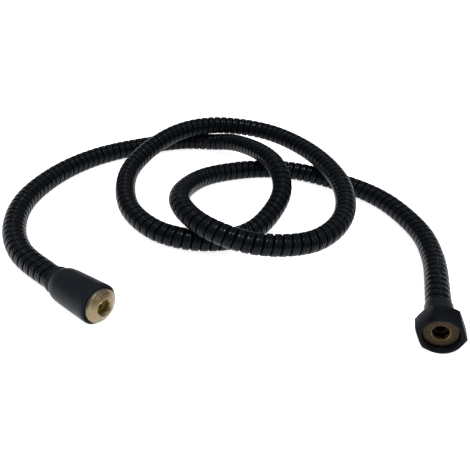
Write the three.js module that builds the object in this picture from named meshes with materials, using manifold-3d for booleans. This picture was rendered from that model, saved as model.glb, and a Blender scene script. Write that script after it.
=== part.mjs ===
// A 1.5 m metal shower hose: a spiral-armoured hose with a swivelling hex nut on one end and a
// long cone nut on the other. Millimetres, +Z up. The hose lies on the plane z = 0, in two loops
// that cross over themselves, and the origin is on that plane under the middle of the fittings.
import * as THREE from "three";
import { mergeVertices } from "three/addons/utils/BufferGeometryUtils.js";
import Module from "manifold-3d";

// ---- driving dimensions -------------------------------------------------------------------

const GAP = 0.3; // left between pieces that touch on the real hose
const SIDES = 36; // facets round a turned piece

const HOSE = { outer: 7, wall: 1.1, sides: 10, steps: 72 };
const TUBE = { outer: 5.3, inner: 4.2 };
const THREAD = { crest: 9.55, mouth: 10 }; // radii of the G1/2 female thread
const HEX_NUT = { flats: 23, length: 11.8, shoulder: 9, rim: 11.6, chamfer: 1.9 };
const CONE_NUT = { length: 34, mouth: 11.1, waist: 10.05, neck: 7.9, neckBore: 7.35, shoulder: 10.6 };
const SLIDING_BORE = 8; // radius of both nuts behind the shoulder, loose on the ferrule
const FLANGE = { radius: 9.3, thickness: 2.4, edge: 7.3, lip: 4.8 };
const SOCKET = { flats: 7, depth: 3.8 }; // hexagon in the head of the nipple
const TAIL = { length: 16, radius: 3.68, barb: 3.3, bore: 2.3, shank: 5.2 };
const FERRULE = { outer: 7.7, inner: 7.3, length: 18.8, lip: 0.5 };
const BUSH = { start: 1.1, end: 2.9 };
const O_RING = { centre: 3.42, section: 0.38, place: 5.2 };
const WASHER = { outer: 9.25, thickness: 0.8 };

// Each fitting stands on its mouth's centre and points out of the mouth. Angles in degrees.
const HEX_END = { mouth: [96.7, 11.2, 11.5], heading: -90, rise: 0, flange: -3, dome: 0 };
const CONE_END = { mouth: [-75.4, -25.2, 11.25], heading: -21.6, rise: 2.6, flange: 2, dome: 2.4 };
const HOSE_START = FLANGE.thickness + BUSH.end + GAP; // behind the front of the flange

// The centreline between the two fittings, laid out by hand: x, y and height.
const ROUTE = [
  [-141.9, 6, 7.7],
  [-161.9, 29.5, 7],
  [-174.4, 62, 7],
  [-174.5, 106, 7],
  [-162, 144.5, 7],
  [-135.5, 179.5, 7.2],
  [-110.5, 202, 7],
  [-88.5, 208.5, 7.9],
  [-64.5, 202, 13.9],
  [-22, 155.5, 23.3],
  [-9.5, 128, 15.8],
  [-15.4, 90.9, 7.7],
  [-27, 69.4, 7],
  [-42.5, 59, 7],
  [-61, 55, 7],
  [-82, 59.5, 7],
  [-108.5, 81.5, 7.2],
  [-126.5, 127.5, 11],
  [-113, 184, 20],
  [-87, 212, 22.3],
  [-44, 220.5, 21.4],
  [-3, 196, 21.8],
  [29.5, 147.5, 21.5],
  [36.5, 101, 19],
  [21.5, 66.5, 17.5],
  [-10.5, 50, 18],
  [-43.5, 52.5, 21],
  [-68, 74.5, 20.6],
  [-76.5, 119.5, 11],
  [-67.5, 149, 7.3],
  [-37, 174, 7],
  [-5, 183, 7],
  [42, 173, 7],
  [62, 161.5, 7],
  [77, 145, 7],
  [91, 120.5, 7],
  [97, 89.5, 8.2],
];

// ---- materials ----------------------------------------------------------------------------

function finish(color, roughness, metalness) {
  return new THREE.MeshStandardMaterial({ color, roughness, metalness });
}

const FINISHES = {
  blackSteel: finish(0x1d2024, 0.42, 0.6),
  blackNut: finish(0x1a1c20, 0.36, 0.6),
  brass: finish(0xa8946a, 0.38, 0.9),
  rubber: finish(0x2a2a2b, 0.8, 0),
  nylon: finish(0xd9d7cf, 0.55, 0),
};

// ---- solids -------------------------------------------------------------------------------

const wasm = await Module();
wasm.setup();

function toSolid(geometry) {
  const plain = geometry.index ? geometry.toNonIndexed() : geometry.clone();
  plain.deleteAttribute("normal");
  plain.deleteAttribute("uv");
  const merged = mergeVertices(plain, 1e-4);
  return new wasm.Manifold(
    new wasm.Mesh({
      numProp: 3,
      vertProperties: merged.attributes.position.array,
      triVerts: new Uint32Array(merged.index.array),
    }),
  );
}

function toGeometry(manifold) {
  const result = manifold.getMesh();
  return new THREE.BufferGeometry()
    .setAttribute("position", new THREE.BufferAttribute(result.vertProperties, 3))
    .setIndex(new THREE.BufferAttribute(result.triVerts, 1));
}

// A body of revolution about Z from [radius, z] points, listed anticlockwise with the radius
// to the right, so that the outside goes up and the bore comes down.
function turned(profile) {
  const closed = [...profile, profile[0]].map(([r, z]) => new THREE.Vector2(r, z));
  return new THREE.LatheGeometry(closed, SIDES).rotateX(Math.PI / 2);
}

function hexPrism(flats, low, high) {
  const corner = flats / Math.sqrt(3);
  return new THREE.CylinderGeometry(corner, corner, high - low, 6)
    .rotateX(Math.PI / 2)
    .rotateZ(Math.PI / 6)
    .translate(0, 0, (low + high) / 2);
}

function arc(centreR, centreZ, radius, from, to, points) {
  return Array.from({ length: points }, (_, i) => {
    const angle = THREE.MathUtils.degToRad(from + ((to - from) * i) / (points - 1));
    return [centreR + radius * Math.cos(angle), centreZ + radius * Math.sin(angle)];
  });
}

// ---- the pieces of a fitting, each in the fitting's own frame -------------------------------

// A hexagon with its corners turned off at both ends, bored for the thread and for the ferrule.
function hexNut() {
  const { flats, length, shoulder, rim, chamfer } = HEX_NUT;
  const corner = rim + chamfer;
  const turnedBody = turned([
    [THREAD.mouth, 0],
    [THREAD.crest, THREAD.crest - THREAD.mouth],
    [THREAD.crest, -shoulder],
    [SLIDING_BORE, -shoulder],
    [SLIDING_BORE, -length],
    [rim, -length],
    [corner, -length + chamfer],
    [corner, -chamfer],
    [rim, 0],
  ]);
  const prism = hexPrism(flats, -length - 1, 1);
  return toGeometry(toSolid(turnedBody).intersect(toSolid(prism)));
}

// The long cone: a rounded mouth, a slight taper, a round shoulder and a short neck.
function coneNut() {
  const { length, mouth, waist, neck, neckBore, shoulder } = CONE_NUT;
  const lip = 0.6;
  const drop = waist - neck;
  const neckTop = -length + 3;
  return turned([
    [THREAD.mouth, 0],
    [THREAD.crest, THREAD.crest - THREAD.mouth],
    [THREAD.crest, -shoulder],
    [SLIDING_BORE, -shoulder],
    [SLIDING_BORE, neckTop + 0.3],
    [neckBore, neckTop + 0.3],
    [neckBore, -length],
    [neck, -length],
    [neck, neckTop],
    [neck + drop * 0.35, neckTop + 1.1],
    [neck + drop * 0.68, neckTop + 2.6],
    [neck + drop * 0.88, neckTop + 4.4],
    [waist, neckTop + 7.2],
    ...arc(mouth - lip, -lip, lip, 0, 90, 4),
  ]);
}

// One turned brass piece: a flange with a hexagon socket in its face, which is flat or domed,
// and a barbed tail behind it.
function nipple(dome) {
  const { radius, thickness, edge, lip } = FLANGE;
  const back = -thickness;
  const groove = [O_RING.place - 0.6, O_RING.place + 0.6].map((depth) => back - depth);
  const grooveFloor = O_RING.centre - O_RING.section - 0.04;
  const inSocket = SOCKET.flats / 2 - 0.1;
  const floor = dome - SOCKET.depth + 0.1;
  const barbs = [13, 10.2, 7.4].flatMap((depth) => [
    [TAIL.barb, back - depth - 2.6],
    [TAIL.radius, back - depth],
  ]);
  const face = dome > 0 ? [[edge, dome * 0.52]] : [];
  const head = turned([
    [lip - 0.1, dome],
    [inSocket, dome - lip + 0.1 + inSocket],
    [inSocket, floor],
    [TAIL.bore, floor],
    [TAIL.bore, back - TAIL.length],
    [TAIL.barb - 0.2, back - TAIL.length],
    ...barbs,
    [TAIL.radius, groove[1]],
    [grooveFloor, groove[1]],
    [grooveFloor, groove[0]],
    [TAIL.radius, groove[0]],
    [TAIL.radius, back - BUSH.end - GAP],
    [TAIL.shank, back - BUSH.end],
    [TAIL.shank, back],
    [radius, back],
    [radius, -0.2],
    [radius - 0.2, 0],
    ...face,
    [lip, dome],
  ]);
  const socket = hexPrism(SOCKET.flats, dome - SOCKET.depth, dome + 1);
  return toGeometry(toSolid(head).subtract(toSolid(socket)));
}

// A thin crimped cup over the end of the hose, gripping behind the flange.
function ferrule() {
  const { outer, inner, length, lip } = FERRULE;
  const front = -FLANGE.thickness - GAP;
  return turned([
    [TAIL.shank + GAP, front],
    [TAIL.shank + GAP, front - lip],
    [inner, front - lip],
    [inner, -FLANGE.thickness - length],
    [outer, -FLANGE.thickness - length],
    [outer, front - 0.4],
    [outer - 0.4, front],
  ]);
}

function ring(inner, outer, low, high) {
  return turned([
    [inner, high],
    [inner, low],
    [outer, low],
    [outer, high],
  ]);
}

function endBush() {
  const back = -FLANGE.thickness;
  return ring(TAIL.shank + GAP, HOSE.outer, back - BUSH.end, back - BUSH.start);
}

function tailRing() {
  return new THREE.TorusGeometry(O_RING.centre, O_RING.section, 6, 24).translate(
    0,
    0,
    -FLANGE.thickness - O_RING.place,
  );
}

// Lies against the nut's inner shoulder, loose on the ferrule.
function thrustWasher(shoulder) {
  const low = -shoulder + GAP;
  return ring(SLIDING_BORE, WASHER.outer, low, low + WASHER.thickness);
}

// ---- the hose -------------------------------------------------------------------------------

function outward({ heading, rise }) {
  const turn = THREE.MathUtils.degToRad(heading);
  const lift = THREE.MathUtils.degToRad(rise);
  return new THREE.Vector3(
    Math.cos(lift) * Math.cos(turn),
    Math.cos(lift) * Math.sin(turn),
    Math.sin(lift),
  );
}

function onAxis(end, distance) {
  return new THREE.Vector3(...end.mouth).addScaledVector(outward(end), distance);
}

function hosePath() {
  return new THREE.CatmullRomCurve3([
    onAxis(CONE_END, CONE_END.flange - HOSE_START),
    onAxis(CONE_END, -40),
    ...ROUTE.map((point) => new THREE.Vector3(...point)),
    onAxis(HEX_END, -31.2),
    onAxis(HEX_END, HEX_END.flange - HOSE_START),
  ]);
}

function polygon(PathClass, radius) {
  const path = new PathClass();
  for (let i = 0; i < HOSE.sides; i++) {
    const angle = (2 * Math.PI * i) / HOSE.sides;
    const place = [radius * Math.cos(angle), radius * Math.sin(angle)];
    if (i === 0) path.moveTo(...place);
    else path.lineTo(...place);
  }
  path.closePath();
  return path;
}

function pipe(path, outer, inner) {
  const section = polygon(THREE.Shape, outer);
  section.holes.push(polygon(THREE.Path, inner));
  return new THREE.ExtrudeGeometry(section, {
    extrudePath: path,
    steps: HOSE.steps,
    bevelEnabled: false,
  });
}

// ---- assembly -------------------------------------------------------------------------------

function piece(name, geometry, material, distance = 0) {
  const mesh = new THREE.Mesh(geometry, material);
  mesh.name = name;
  mesh.position.z = distance;
  return mesh;
}

// The parts that both ends share, placed from the front of the flange.
function hoseEnd(prefix, { flange, dome }) {
  return [
    piece(`${prefix}_nipple`, nipple(dome), FINISHES.brass, flange),
    piece(`${prefix}_ferrule`, ferrule(), FINISHES.blackSteel, flange),
    piece(`${prefix}_end_bush`, endBush(), FINISHES.nylon, flange),
    piece(`${prefix}_tail_o_ring`, tailRing(), FINISHES.rubber, flange),
  ];
}

function fitting(end, pieces) {
  const group = new THREE.Group();
  group.position.set(...end.mouth);
  group.quaternion.setFromRotationMatrix(
    new THREE.Matrix4().lookAt(outward(end), new THREE.Vector3(), new THREE.Vector3(0, 0, 1)),
  );
  group.add(...pieces);
  return group;
}

const path = hosePath();
const hose = new THREE.Group();
hose.add(
  piece("spiral_armour", pipe(path, HOSE.outer, HOSE.outer - HOSE.wall), FINISHES.blackSteel),
  piece("inner_tube", pipe(path, TUBE.outer, TUBE.inner), FINISHES.rubber),
);

const hexEnd = fitting(HEX_END, [
  ...hoseEnd("nut", HEX_END),
  piece("hex_nut", hexNut(), FINISHES.blackNut),
  piece("nut_thrust_washer", thrustWasher(HEX_NUT.shoulder), FINISHES.nylon),
]);

const coneEnd = fitting(CONE_END, [
  ...hoseEnd("cone", CONE_END),
  piece("cone_nut", coneNut(), FINISHES.blackNut),
  piece("cone_thrust_washer", thrustWasher(CONE_NUT.shoulder), FINISHES.nylon),
]);

const assembly = new THREE.Group();
assembly.add(hose, hexEnd, coneEnd);

export default assembly;
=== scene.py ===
"""The visible model of the shower hose: wound armour, turned fittings, camera, floor and light."""

import math

import bmesh
import bpy
import numpy as np
from mathutils import Matrix, Vector


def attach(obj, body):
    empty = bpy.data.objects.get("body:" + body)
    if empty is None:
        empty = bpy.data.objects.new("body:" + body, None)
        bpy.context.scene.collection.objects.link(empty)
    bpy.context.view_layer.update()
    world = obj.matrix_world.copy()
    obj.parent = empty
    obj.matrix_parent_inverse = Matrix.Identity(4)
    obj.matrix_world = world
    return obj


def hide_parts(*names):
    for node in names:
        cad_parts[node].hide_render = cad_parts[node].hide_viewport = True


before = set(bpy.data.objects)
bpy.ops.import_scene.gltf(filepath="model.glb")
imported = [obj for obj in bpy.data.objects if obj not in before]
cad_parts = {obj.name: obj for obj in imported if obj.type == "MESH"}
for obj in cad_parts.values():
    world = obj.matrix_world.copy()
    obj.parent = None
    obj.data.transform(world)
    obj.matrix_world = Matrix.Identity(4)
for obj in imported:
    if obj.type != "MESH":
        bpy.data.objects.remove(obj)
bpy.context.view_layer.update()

MM = 0.001

# ---- camera ---------------------------------------------------------------------------------

# Lengths are in millimetres and angles in degrees.
CAMERA = {
    "place": (33.55, -214.45, 194.3),
    "turn": 12.3,
    "down": 32.625,
    "roll": 5.203,
    "lens": 40.9,
    "sensor": 36,
}


def add_camera():
    data = bpy.data.cameras.new("camera")
    data.sensor_width = CAMERA["sensor"]
    data.lens = CAMERA["lens"]
    data.clip_start = 0.01
    cam = bpy.data.objects.new("camera", data)
    bpy.context.collection.objects.link(cam)
    down, turn, roll = (math.radians(CAMERA[k]) for k in ("down", "turn", "roll"))
    look = Matrix.Rotation(turn, 4, "Z") @ Matrix.Rotation(math.pi / 2 - down, 4, "X")
    cam.matrix_world = (
        Matrix.Translation(Vector(CAMERA["place"]) * MM) @ look @ Matrix.Rotation(roll, 4, "Z")
    )
    bpy.context.scene.camera = cam


add_camera()

# ---- the route of the hose, the same as the solids' --------------------------------------------

# Each fitting stands on its mouth's centre and points out of the mouth. The flange's front and the
# end of the straight run of hose are distances out of the mouth, in millimetres.
HEX_END = {
    "mouth": (96.7, 11.2, 11.5),
    "heading": -90,
    "rise": 0,
    "flange": -3,
    "straight": -31.2,
}
CONE_END = {
    "mouth": (-75.4, -25.2, 11.25),
    "heading": -21.6,
    "rise": 2.6,
    "flange": 2,
    "straight": -40,
}
HOSE_START = 5.6  # behind the front of the flange
CURVE_STEPS = 60  # points on the curve for each point of the route
ROUTE = [
    (-141.9, 6, 7.7),
    (-161.9, 29.5, 7),
    (-174.4, 62, 7),
    (-174.5, 106, 7),
    (-162, 144.5, 7),
    (-135.5, 179.5, 7.2),
    (-110.5, 202, 7),
    (-88.5, 208.5, 7.9),
    (-64.5, 202, 13.9),
    (-22, 155.5, 23.3),
    (-9.5, 128, 15.8),
    (-15.4, 90.9, 7.7),
    (-27, 69.4, 7),
    (-42.5, 59, 7),
    (-61, 55, 7),
    (-82, 59.5, 7),
    (-108.5, 81.5, 7.2),
    (-126.5, 127.5, 11),
    (-113, 184, 20),
    (-87, 212, 22.3),
    (-44, 220.5, 21.4),
    (-3, 196, 21.8),
    (29.5, 147.5, 21.5),
    (36.5, 101, 19),
    (21.5, 66.5, 17.5),
    (-10.5, 50, 18),
    (-43.5, 52.5, 21),
    (-68, 74.5, 20.6),
    (-76.5, 119.5, 11),
    (-67.5, 149, 7.3),
    (-37, 174, 7),
    (-5, 183, 7),
    (42, 173, 7),
    (62, 161.5, 7),
    (77, 145, 7),
    (91, 120.5, 7),
    (97, 89.5, 8.2),
]


def outward(end):
    turn, lift = math.radians(end["heading"]), math.radians(end["rise"])
    return Vector(
        (math.cos(lift) * math.cos(turn), math.cos(lift) * math.sin(turn), math.sin(lift))
    )


def on_axis(end, distance):
    return Vector(end["mouth"]) + outward(end) * distance


def fitting_matrix(end):
    """A fitting's own frame, in metres: its origin is the mouth's centre and +Z points out."""
    z = outward(end)
    x = Vector((0, 0, 1)).cross(z).normalized()
    y = z.cross(x)
    turn = Matrix((x, y, z)).transposed().to_4x4()
    return Matrix.Translation(Vector(end["mouth"]) * MM) @ turn


def catmull_rom(points, steps):
    """The centripetal curve through the points, which leaves straight on at its two ends."""
    p = np.array(points, float)
    q = np.vstack([2 * p[0] - p[1], p, 2 * p[-1] - p[-2]])
    out = []
    for i in range(len(p) - 1):
        a, b, c, d = q[i : i + 4]
        t0, t1, t2 = (np.sum((v - u) ** 2) ** 0.25 for u, v in ((a, b), (b, c), (c, d)))
        m0 = ((b - a) / t0 - (c - a) / (t0 + t1) + (c - b) / t1) * t1
        m1 = ((c - b) / t1 - (d - b) / (t1 + t2) + (d - c) / t2) * t1
        s = np.linspace(0, 1, steps, endpoint=i == len(p) - 2)[:, None]
        cube, square = 2 * b - 2 * c + m0 + m1, -3 * b + 3 * c - 2 * m0 - m1
        out.append(b + m0 * s + square * s**2 + cube * s**3)
    return np.vstack(out)


def centreline(step=0.5):
    """Evenly spaced points of the route with a frame that doesn't twist: s, place, side, up."""
    fine = catmull_rom(
        [
            on_axis(CONE_END, CONE_END["flange"] - HOSE_START),
            on_axis(CONE_END, CONE_END["straight"]),
            *ROUTE,
            on_axis(HEX_END, HEX_END["straight"]),
            on_axis(HEX_END, HEX_END["flange"] - HOSE_START),
        ],
        CURVE_STEPS,
    )
    run = np.r_[0, np.cumsum(np.linalg.norm(np.diff(fine, axis=0), axis=1))]
    s = np.linspace(0, run[-1], int(run[-1] / step) + 1)
    place = np.stack([np.interp(s, run, fine[:, k]) for k in range(3)], 1)
    along = np.gradient(place, axis=0)
    along /= np.linalg.norm(along, axis=1)[:, None]
    up = np.empty_like(place)
    v = np.array((0.0, 0, 1))
    for i, t in enumerate(along):
        v = v - t * (v @ t)
        v /= np.linalg.norm(v)
        up[i] = v
    return s, place, np.cross(along, up), up


# ---- mesh and material helpers ------------------------------------------------------------------


def mesh_object(name, verts, faces, matrix=None, sharp=32):
    """A smooth mesh with hard edges where two faces meet at more than an angle in degrees."""
    mesh = bpy.data.meshes.new(name)
    mesh.from_pydata([tuple(v) for v in verts], [], faces)
    bm = bmesh.new()
    bm.from_mesh(mesh)
    bmesh.ops.recalc_face_normals(bm, faces=bm.faces)
    for edge in bm.edges:
        edge.smooth = len(edge.link_faces) != 2 or edge.calc_face_angle() < math.radians(sharp)
    for face in bm.faces:
        face.smooth = True
    bm.to_mesh(mesh)
    bm.free()
    obj = bpy.data.objects.new(name, mesh)
    bpy.context.collection.objects.link(obj)
    if matrix is not None:
        obj.matrix_world = matrix
    return obj


def lathe(name, rows, matrix, angles):
    """A turned piece in its fitting's frame. A row is a list of (radius, z), one for each angle."""
    n = len(angles)
    verts = [
        (r * math.cos(a) * MM, r * math.sin(a) * MM, z * MM)
        for row in rows
        for a, (r, z) in zip(angles, row)
    ]
    faces = []
    for i in range(len(rows)):
        j = (i + 1) % len(rows)
        for k in range(n):
            m = (k + 1) % n
            faces.append((i * n + k, i * n + m, j * n + m, j * n + k))
    return mesh_object(name, verts, faces, matrix)


def even(n):
    return [2 * math.pi * i / n for i in range(n)]


def ring(angles, r, z):
    return [(r, z)] * len(angles)


def rings(angles, profile):
    return [ring(angles, r, z) for r, z in profile]


def arc(r, z, radius, start, stop, n):
    """Points of a profile on an arc about (r, z), from one angle in degrees to another."""
    turns = [math.radians(start + (stop - start) * i / (n - 1)) for i in range(n)]
    return [(r + radius * math.cos(t), z + radius * math.sin(t)) for t in turns]


class Nodes:
    """A small builder for one material's node tree."""

    def __init__(self, name):
        self.material = bpy.data.materials.new(name)
        self.material.use_nodes = True
        self.tree = self.material.node_tree
        self.shader = self.tree.nodes["Principled BSDF"]

    def add(self, kind, inputs=(), **settings):
        node = self.tree.nodes.new(kind)
        for key, value in settings.items():
            setattr(node, key, value)
        for key, value in dict(inputs).items():
            self.put(node.inputs[key], value)
        return node

    def put(self, socket, value):
        if isinstance(value, bpy.types.NodeSocket):
            self.tree.links.new(value, socket)
        else:
            socket.default_value = value

    def place(self):
        return self.add("ShaderNodeTexCoord").outputs["Object"]

    def noise(self, scale, detail=3):
        spots = {"Vector": self.place(), "Scale": scale, "Detail": detail}
        return self.add("ShaderNodeTexNoise", spots).outputs["Fac"]

    def remap(self, value, low, high, a, b):
        ends = {"Value": value, "From Min": low, "From Max": high, "To Min": a, "To Max": b}
        return self.add("ShaderNodeMapRange", ends).outputs["Result"]

    def rise(self, value, low, high):
        """A value that goes from 0 at one end of a range to 1 at the other."""
        return self.remap(value, low, high, 0, 1)

    def math(self, operation, a, b=0.0):
        return self.add("ShaderNodeMath", {0: a, 1: b}, operation=operation).outputs[0]

    def mix(self, factor, a, b):
        node = self.add("ShaderNodeMix", {0: factor, 6: a, 7: b}, data_type="RGBA")
        return node.outputs[2]

    def bump(self, height, strength, distance, under=None):
        inputs = {"Height": height, "Strength": strength, "Distance": distance}
        if under is not None:
            inputs["Normal"] = under
        return self.add("ShaderNodeBump", inputs).outputs["Normal"]

    def finish(self, **inputs):
        for key, value in inputs.items():
            self.put(self.shader.inputs[key.replace("_", " ")], value)
        return self.material


SHEEN = (0.72, 0.86, 1.0, 1)
# The colour of the painted shade in the armour's grooves.
GROOVE_SHADE = (0.0006, 0.0006, 0.0008, 1)


def black_coat(name, low, high, rough, specular, groove=False, turned=0.0):
    """A black lacquer with a fine orange peel, a patchy sheen, tool lines on turned pieces and, if
    asked, painted shade in the grooves.
    """
    n = Nodes(name)
    patch = n.noise(140, 2)
    grain = n.noise(2600, 2)
    color = n.mix(n.rise(patch, 0.35, 0.65), (*low, 1), (*high, 1))
    rough_map = n.remap(n.noise(420, 3), 0.3, 0.7, rough - 0.04, rough + 0.06)
    normal = n.bump(grain, 0.12, 0.00006)
    if groove:
        # Painted shade in the strip's grooves: the deeper the point, the nearer its colour goes to
        # black, with more roughness and less specular.
        depth = n.add("ShaderNodeAttribute", attribute_name="groove").outputs["Fac"]
        color = n.mix(n.rise(depth, 0.05, 0.4), color, GROOVE_SHADE)
        rough_map = n.math("ADD", rough_map, n.math("MULTIPLY", depth, 0.4))
        n.put(n.shader.inputs["Specular IOR Level"], n.remap(depth, 0.1, 0.5, specular, 0.01))
    else:
        n.put(n.shader.inputs["Specular IOR Level"], specular)
    if turned:
        height = n.add("ShaderNodeSeparateXYZ", {"Vector": n.place()}).outputs["Z"]
        lines = n.math("SINE", n.math("MULTIPLY", height, 2 * math.pi / turned))
        normal = n.bump(lines, 0.12, 0.00003, normal)
    return n.finish(Base_Color=color, Roughness=rough_map, Normal=normal, Specular_Tint=SHEEN)


# Places on a brass insert where its look changes, and the spacing of its tool marks, in metres.
FINE_MARKS, COARSE_MARKS = 0.00042, 0.0014
RIM = (0.00924, 0.00928)
# The ring of the painted highlight on the socket's lip.
LIP_HIGHLIGHT_INSIDE, LIP_HIGHLIGHT_OUTSIDE = (0.0044, 0.0045), (0.005, 0.0049)
# Where the painted shade inside the socket starts, and how far down it fades in.
SOCKET_SHADE_WALL = (0.0043, 0.0042)
SOCKET_SHADE_FADE = 0.0016
MARK_HEIGHT = 0.00003


def turned_brass(name, clean, dull, ring, lip, side, socket_shade, depth):
    """Plain turned brass: rings left by the tool, tarnish, a greyer colour on the side, a lip
    colour that can be a painted highlight, and painted shade deep in the socket.
    """
    n = Nodes(name)
    place = n.place()
    flat = n.add("ShaderNodeVectorMath", {0: place, 1: (1, 1, 0)}, operation="MULTIPLY").outputs[0]
    radius = n.add("ShaderNodeVectorMath", {0: flat}, operation="LENGTH").outputs["Value"]
    tool = n.math("SINE", n.math("MULTIPLY", radius, 2 * math.pi / FINE_MARKS))
    coarse = n.math("SINE", n.math("MULTIPLY", radius, 2 * math.pi / COARSE_MARKS))
    stain = n.rise(n.noise(320, 4), 0.35, 0.7)
    color = n.mix(stain, (*clean, 1), (*dull, 1))
    color = n.mix(n.remap(coarse, -1, 1, 0, 0.4), color, (*ring, 1))
    color = n.mix(n.rise(radius, *RIM), color, (*side, 1))
    # A ring of its own colour on the socket's lip: on the nut's shaded insert a painted highlight,
    # on the cone's insert the same as the clean brass.
    edge = n.math("MULTIPLY", n.rise(radius, *LIP_HIGHLIGHT_INSIDE), n.rise(radius, *LIP_HIGHLIGHT_OUTSIDE))
    color = n.mix(edge, color, (*lip, 1))
    # Painted shade deep in the hexagon socket: below the given depth and inside its wall, the
    # colour fades to a darker one.
    height = n.add("ShaderNodeSeparateXYZ", {"Vector": place}).outputs["Z"]
    below = n.rise(height, depth, depth - SOCKET_SHADE_FADE)
    inside = n.math("MULTIPLY", below, n.rise(radius, *SOCKET_SHADE_WALL))
    color = n.mix(inside, color, (*socket_shade, 1))
    marks = n.math("ADD", tool, coarse)
    normal = n.bump(marks, 0.25, MARK_HEIGHT, n.bump(n.noise(3000, 2), 0.1, MARK_HEIGHT))
    rough = n.remap(n.noise(700, 3), 0.3, 0.7, 0.3, 0.45)
    metal = n.remap(inside, 0, 1, 0.85, 0.1)  # painted shade deep in the socket: less metal and less specular there
    n.put(n.shader.inputs["Specular IOR Level"], n.remap(inside, 0, 1, 0.5, 0.04))
    return n.finish(Base_Color=color, Metallic=metal, Roughness=rough, Normal=normal)


def moulded(name, low, high, rough):
    """Rubber or nylon with a faint mottle and grain, for the pieces inside."""
    n = Nodes(name)
    color = n.mix(n.rise(n.noise(500, 3), 0.35, 0.65), (*low, 1), (*high, 1))
    normal = n.bump(n.noise(3500, 2), 0.2, 0.00005)
    return n.finish(Base_Color=color, Roughness=rough, Normal=normal)


ARMOUR = black_coat(
    "armour_lacquer",
    low=(0.0028, 0.0034, 0.0046),
    high=(0.0046, 0.0054, 0.007),
    rough=0.24,
    specular=0.1,
    groove=True,
)
NUT_COAT = black_coat(
    "nut_lacquer",
    low=(0.004, 0.0046, 0.0062),
    high=(0.0055, 0.0062, 0.008),
    rough=0.5,
    specular=0.05,
)
CONE_COAT = black_coat(
    "cone_lacquer",
    low=(0.0075, 0.0088, 0.0115),
    high=(0.0098, 0.0115, 0.0145),
    rough=0.42,
    specular=0.1,
    turned=0.0005,
)
BRASS = turned_brass(
    "turned_brass",
    clean=(0.26, 0.2, 0.115),
    dull=(0.22, 0.168, 0.095),
    ring=(0.18, 0.136, 0.074),
    lip=(0.26, 0.2, 0.115),
    side=(0.16, 0.145, 0.12),
    socket_shade=(0.2, 0.13, 0.025),
    depth=0.0034,
)
# A shaded copy of the turned brass, for the insert deep in the hex nut: its colours are painted
# shade, and its lip colour is a painted highlight.
SHADED_BRASS = turned_brass(
    "shaded_brass",
    clean=(0.034, 0.022, 0.01),
    dull=(0.022, 0.013, 0.006),
    ring=(0.007, 0.004, 0.002),
    lip=(0.13, 0.085, 0.03),
    side=(0.03, 0.022, 0.014),
    socket_shade=(0.012, 0.007, 0.003),
    depth=-0.0042,
)
RUBBER = moulded("tube_rubber", (0.012, 0.012, 0.012), (0.02, 0.02, 0.02), 0.6)
NYLON = moulded("nylon", (0.62, 0.6, 0.55), (0.7, 0.68, 0.63), 0.5)


def dress(obj, material, body, replaced):
    """Coats a piece, hangs it on the empty of the body it rides on, and hides the solid it stands
    for.
    """
    obj.data.materials.clear()
    obj.data.materials.append(material)
    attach(obj, body)
    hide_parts(replaced)


# ---- the wound armour ---------------------------------------------------------------------------

PITCH = 5.5
AROUND = 24  # points in one turn of the strip
SOLID_RADIUS = 7.0
KNOT_EVERY = 50  # points between two random values
LOOSENESS = 0.05  # spread of the strip's place along the hose
SWELL = 0.012  # spread of its radius
NECK_RUN = (36, 46)  # along the hose: just past the cone nut's neck, and where it is full again
CROWN = (6.9, 7.09)  # the largest radius at those two places, so that the nut slides over it
PATH_EVERY = 8  # points of the centreline between those that the cord's path keeps
# The strip's profile over one pitch: how far along it, and the radius. A groove, then a band with a
# shallow crease near its middle.
STRIP = [
    (0.0, 6.1),
    (0.1, 6.1),
    (0.13, 6.6),
    (0.18, 6.92),
    (0.27, 7.04),
    (0.42, 7.08),
    (0.5, 7.04),
    (0.525, 6.82),
    (0.55, 7.04),
    (0.64, 7.08),
    (0.82, 7.04),
    (0.91, 6.93),
    (0.95, 6.72),
    (0.98, 6.3),
]


def wound_armour():
    """One steel strip wound round the hose: a band and a groove, repeated along a helix."""
    s, place, side, up = centreline()
    turns = int(s[-1] / PITCH) - 1
    count = turns * AROUND
    step = np.arange(count + 1)
    rng = np.random.default_rng(7)
    knots = np.arange(0, count + KNOT_EVERY, KNOT_EVERY)
    loose = np.interp(step, knots, rng.normal(0, LOOSENESS, len(knots)))
    swell = np.interp(step, knots, rng.normal(0, SWELL, len(knots)))
    angle = 2 * np.pi * step / AROUND
    verts, depth = [], []
    for offset, radius in STRIP:
        along = np.clip((step / AROUND + offset) * PITCH + loose, 0, s[-1])
        centre, x, y = (
            np.stack([np.interp(along, s, v[:, k]) for k in range(3)], 1) for v in (place, side, up)
        )
        r = np.minimum(radius + swell, np.interp(along, NECK_RUN, CROWN))[:, None]
        verts.append(centre + r * (np.cos(angle)[:, None] * x + np.sin(angle)[:, None] * y))
        depth.append(np.full(len(step), SOLID_RADIUS - radius))
    m = len(STRIP)
    verts = np.stack(verts, 1).reshape(-1, 3) * MM
    depth = np.stack(depth, 1).reshape(-1)
    faces = []
    for i in range(count):
        a, b = i * m, (i + 1) * m
        faces += [(a + k, b + k, b + k + 1, a + k + 1) for k in range(m - 1)]
        if i + AROUND + 1 <= count:
            c, d = (i + AROUND) * m, (i + AROUND + 1) * m
            faces.append((a + m - 1, b + m - 1, d, c))
    obj = mesh_object("wound_armour", verts, faces, sharp=60)
    groove = obj.data.attributes.new("groove", "FLOAT", "POINT")
    groove.data.foreach_set("value", depth.astype(np.float32))
    return obj, place[::PATH_EVERY] * MM


# ---- the fittings -------------------------------------------------------------------------------

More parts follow.
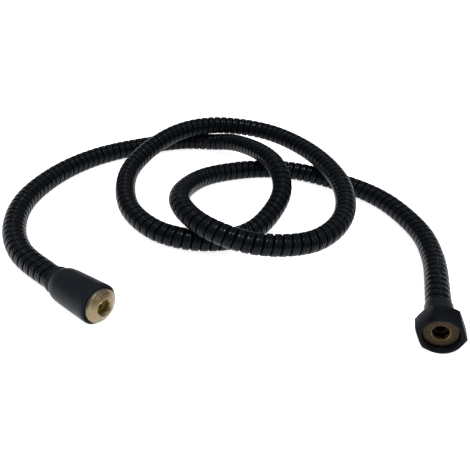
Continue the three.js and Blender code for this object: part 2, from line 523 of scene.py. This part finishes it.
# Radii and depths in millimetres. A depth is a distance behind the mouth or behind the flange.
SLIDING_BORE = 8.0  # radius of both nuts behind the shoulder, loose on the crimp
THREAD = {"pitch": 1.814, "crest": 9.52, "root": 10.3, "rows": 14}  # rows of points in one turn
THREAD_START, THREAD_END = 1.0, 0.8  # lengths over which it deepens and runs out
FLANK, TIP = 1.35, 0.15  # slope of the thread's sides, and how much of the point is cut off


def thread_rows(angles, top, bottom):
    """A right-hand female thread between two depths, which starts and ends at its crest."""
    pitch, crest, root = THREAD["pitch"], THREAD["crest"], THREAD["root"]
    count = int((top - bottom) / pitch * THREAD["rows"])
    rows = []
    for i in range(count + 1):
        z = top + (bottom - top) * i / count
        fade = min(1, (top - z) / THREAD_START, (z - bottom) / THREAD_END)
        row = []
        for a in angles:
            phase = (z / pitch - a / (2 * math.pi)) % 1
            wave = min(1, max(0, FLANK * (1 - abs(2 * phase - 1)) - TIP))
            row.append((crest + (root - crest) * wave * max(0, fade), z))
        rows.append(row)
    return rows


def hex_angles():
    """Angles round a hexagon, close together at its corners, where the outline turns."""
    near = (0.0, 0.5, 1.0, 2.5, 5, 9, 14, 19, 24.5, 30)
    spread = sorted({s * d for d in near for s in (-1, 1) if s * d > -30})
    return [math.radians(60 * k + d) for k in range(6) for d in spread]


def hex_radius(a, apothem, rounding):
    """The radius of a hexagon with rounded corners, one of them at angle 0."""
    d = abs((a + math.pi / 6) % (math.pi / 3) - math.pi / 6)
    m = (apothem - rounding) / math.cos(math.pi / 6)
    edge = math.atan2(rounding / 2, m + rounding * math.cos(math.pi / 6))
    if d < edge:
        return m * math.cos(d) + math.sqrt(max(0, rounding**2 - (m * math.sin(d)) ** 2))
    return apothem / math.cos(math.pi / 6 - d)


HEX_NUT = {"length": 11.8, "apothem": 11.5, "corner": 0.45, "rim": 11.4, "shoulder": 9.0}


def hex_nut(matrix):
    """The hexagonal nut, with its corners turned off at both ends."""
    length, rim, shoulder = (HEX_NUT[k] for k in ("length", "rim", "shoulder"))
    angles = hex_angles()
    outer = [hex_radius(a, HEX_NUT["apothem"], HEX_NUT["corner"]) for a in angles]

    def drop(r):
        return max(0.0, r - rim)

    rows = rings(angles, [(SLIDING_BORE, -length), (SLIDING_BORE, -shoulder)])
    rows += rings(angles, [(THREAD["crest"], -shoulder), (THREAD["crest"], -8.4)])
    rows += reversed(thread_rows(angles, -1.0, -8.2))
    rows += rings(angles, [(9.6, -0.6), (10.2, -0.08), (10.32, 0)])
    rows.append([(min(rim, r) - 0.15, 0) for r in outer])
    rows.append([(min(rim, r), -0.08) for r in outer])
    rows.append([(r - 0.1, -0.12 - drop(r)) for r in outer])
    rows.append([(r, -0.3 - drop(r)) for r in outer])
    rows.append([(r, 0.3 + drop(r) - length) for r in outer])
    rows.append([(r - 0.1, 0.12 + drop(r) - length) for r in outer])
    rows.append([(min(rim, r), 0.08 - length) for r in outer])
    rows.append([(min(rim, r) - 0.15, -length) for r in outer])
    return lathe("turned_hex_nut", rows, matrix, angles)


CONE_SHOULDER, NECK_BORE, NECK_TOP = 10.6, 7.35, 30.7
# The outside from the end of the neck to the mouth: three grip rings, the neck's flare, the cone.
CONE_OUTSIDE = [
    (NECK_BORE, -34.0),
    (7.75, -34.0),
    (7.9, -33.85),
    (7.9, -33.4),
    (7.8, -33.3),
    (7.8, -33.1),
    (7.9, -33.0),
    (7.9, -32.5),
    (7.8, -32.4),
    (7.8, -32.2),
    (7.9, -32.1),
    (7.9, -31.6),
    (7.82, -31.5),
    (7.82, -31.3),
    (7.92, -31.2),
    (8.05, -30.7),
    (8.45, -30.1),
    (8.9, -29.3),
    (9.3, -28.3),
    (9.6, -27.2),
    (9.82, -26.0),
    (9.97, -24.8),
    (10.07, -23.4),
    (10.5, -16.0),
    (10.93, -5.5),
    (10.98, -4.6),
    (11.08, -3.9),
    (11.1, -2.4),
    (11.1, -1.1),
    *arc(10.3, -0.8, 0.8, 0, 90, 6)[1:],
    (10.1, 0.0),
    (9.6, -0.45),
]


def cone_nut(matrix):
    """The long cone nut, whose neck is a close fit on the hose."""
    angles = even(120)
    crest = THREAD["crest"]
    rows = rings(angles, CONE_OUTSIDE)
    rows += thread_rows(angles, -0.5, -9.8)
    rows += rings(angles, [(crest, -CONE_SHOULDER), (SLIDING_BORE, -CONE_SHOULDER)])
    rows += rings(angles, [(SLIDING_BORE, -NECK_TOP), (NECK_BORE, -NECK_TOP)])
    return lathe("turned_cone_nut", rows, matrix, angles)


# The brass insert's face, as radii and distances in front of the flange: flat at one end of the
# hose, domed at the other.
FLAT_FACE = [(9.3, -2.35), (9.3, -0.3), (9.22, -0.1), (9.0, 0.0), (8.6, 0.0)]
DOMED_FACE = [
    (9.3, -2.35),
    (9.3, -0.22),
    (9.24, -0.08),
    (9.1, 0.0),
    (8.75, 0.12),
    (8.3, 0.42),
    (7.7, 0.86),
    (7.0, 1.34),
    (6.3, 1.76),
    (5.6, 2.08),
    (5.0, 2.27),
]
DOME_HEIGHT = 2.4

SOCKET = {"apothem": 3.5, "corner": 0.25, "lip": 4.8, "depth": 3.75}
FLANGE_THICKNESS = 2.4
# From the end of the bore, over three barbs and the O-ring's groove, to the back of the flange.
BARBED_TAIL = [
    (2.3, -18.4),
    (3.1, -18.4),
    (3.3, -18),
    (3.68, -15.4),
    (3.3, -15.2),
    (3.68, -12.6),
    (3.3, -12.4),
    (3.68, -9.8),
    (3.68, -8.2),
    (3.0, -8.2),
    (3.0, -7.0),
    (3.68, -7.0),
    (3.68, -5.6),
    (5.15, -5.25),
    (5.15, -FLANGE_THICKNESS),
    (9.2, -FLANGE_THICKNESS),
]


def nipple(name, end, face, dome):
    """The brass insert, with a hexagon socket in its flat or domed face and a barbed tail."""
    f = end["flange"]
    top, lip = f + dome, SOCKET["lip"]
    angles = hex_angles()
    hexagon = [hex_radius(a, SOCKET["apothem"], SOCKET["corner"]) for a in angles]
    rows = rings(angles, [(r, f + z) for r, z in face])
    rows += rings(angles, [(4.95, top), (lip, top - 0.06)])
    rows.append([(h + 0.06, top - (lip - h)) for h in hexagon])
    rows.append([(h, top - 0.12 - (lip - h)) for h in hexagon])
    rows.append([(h, top - SOCKET["depth"]) for h in hexagon])
    rows += rings(angles, [(3.0, top - 3.8), (2.35, top - 4.2)])
    rows += rings(angles, [(r, f + z) for r, z in BARBED_TAIL])
    return lathe(name, rows, fitting_matrix(end), angles)


CRIMP_STARTS = (4.4, 10.6)  # of the two rings, behind the back of the flange
CRIMP_RING = [(7.7, 0), (7.66, -0.5), (7.6, -1.4), (7.66, -2.3), (7.7, -2.8)]


def ferrule(name, end):
    """The black cup crimped over the hose's end, drawn in slightly in two rings."""
    f = end["flange"] - FLANGE_THICKNESS
    profile = [(5.5, f - 0.8), (5.5, f - 0.3), (7.3, f - 0.3), *arc(7.3, f - 0.7, 0.4, 75, 0, 4)]
    for start in CRIMP_STARTS:
        profile += [(r, f - start + z) for r, z in CRIMP_RING]
    profile += [(7.7, f - 18.3), *arc(7.4, f - 18.5, 0.3, 0, -80, 4)]
    profile += [(7.3, f - 18.8), (7.25, f - 18.6), (7.3, f - 0.8)]
    angles = even(72)
    return lathe(name, rings(angles, profile), fitting_matrix(end), angles)


# ---- assembly -----------------------------------------------------------------------------------

armour, path = wound_armour()
dress(armour, ARMOUR, "hose", "spiral_armour")

turned_hex_nut = hex_nut(fitting_matrix(HEX_END))
dress(turned_hex_nut, NUT_COAT, "nut", "hex_nut")
nut_insert = nipple("nut_insert", HEX_END, FLAT_FACE, 0)
# The nut's insert wears the shaded copy of the brass: painted shade.
dress(nut_insert, SHADED_BRASS, "hose", "nut_nipple")
nut_crimp = ferrule("nut_crimp", HEX_END)
dress(nut_crimp, CONE_COAT, "hose", "nut_ferrule")

turned_cone_nut = cone_nut(fitting_matrix(CONE_END))
dress(turned_cone_nut, CONE_COAT, "cone", "cone_nut")
cone_insert = nipple("cone_insert", CONE_END, DOMED_FACE, DOME_HEIGHT)
dress(cone_insert, BRASS, "hose", "cone_nipple")
cone_crimp = ferrule("cone_crimp", CONE_END)
dress(cone_crimp, CONE_COAT, "hose", "cone_ferrule")

INSIDE = {
    "inner_tube": RUBBER,
    "nut_tail_o_ring": RUBBER,
    "cone_tail_o_ring": RUBBER,
    "nut_end_bush": NYLON,
    "cone_end_bush": NYLON,
    "nut_thrust_washer": NYLON,
    "cone_thrust_washer": NYLON,
}
for node, material in INSIDE.items():
    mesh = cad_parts[node].data
    mesh.materials.clear()
    mesh.materials.append(material)

# ---- floor and light ----------------------------------------------------------------------------

FLOOR_SIZE, FLOOR_HEIGHT = 8, -0.0002  # metres
ROOM = {"From Min": 0.1, "To Min": 0.12, "To Max": 0.5}  # its light, from low down to overhead
LAMPS = {
    "key": {"tilt": 12, "turn": -10, "energy": 2.0, "spread": 9},
    "side": {"tilt": 50, "turn": 75, "energy": 0.3, "spread": 25},
}


def add_floor():
    """A plain white floor that glows a little, as a table lit from below does."""
    bpy.ops.mesh.primitive_plane_add(size=FLOOR_SIZE, location=(0, 0, FLOOR_HEIGHT))
    floor = bpy.context.object
    floor.name = "floor"
    n = Nodes("floor")
    tone = n.mix(n.noise(3, 2), (0.9, 0.9, 0.9, 1), (0.92, 0.92, 0.92, 1))
    floor.data.materials.append(
        n.finish(
            Base_Color=tone,
            Roughness=0.9,
            Specular_IOR_Level=0.1,
            Emission_Color=(1, 1, 1, 1),
            Emission_Strength=0.88,
        )
    )


def add_light():
    """A room that is brightest overhead, and two soft lamps."""
    world = bpy.data.worlds.new("studio")
    bpy.context.scene.world = world
    world.use_nodes = True
    tree = world.node_tree
    way = tree.nodes.new("ShaderNodeTexCoord").outputs["Generated"]
    split = tree.nodes.new("ShaderNodeSeparateXYZ")
    tree.links.new(way, split.inputs[0])
    height = tree.nodes.new("ShaderNodeMapRange")
    tree.links.new(split.outputs["Z"], height.inputs["Value"])
    for key, value in ROOM.items():
        height.inputs[key].default_value = value
    back = tree.nodes["Background"]
    back.inputs["Color"].default_value = (0.9, 0.95, 1.0, 1)
    tree.links.new(height.outputs["Result"], back.inputs["Strength"])
    for name, sun in LAMPS.items():
        data = bpy.data.lights.new(name, "SUN")
        data.energy = sun["energy"]
        data.angle = math.radians(sun["spread"])
        lamp = bpy.data.objects.new(name, data)
        bpy.context.collection.objects.link(lamp)
        lamp.rotation_euler = (math.radians(sun["tilt"]), 0, math.radians(sun["turn"]))


add_floor()
add_light()
bpy.context.scene.view_settings.view_transform = "Standard"
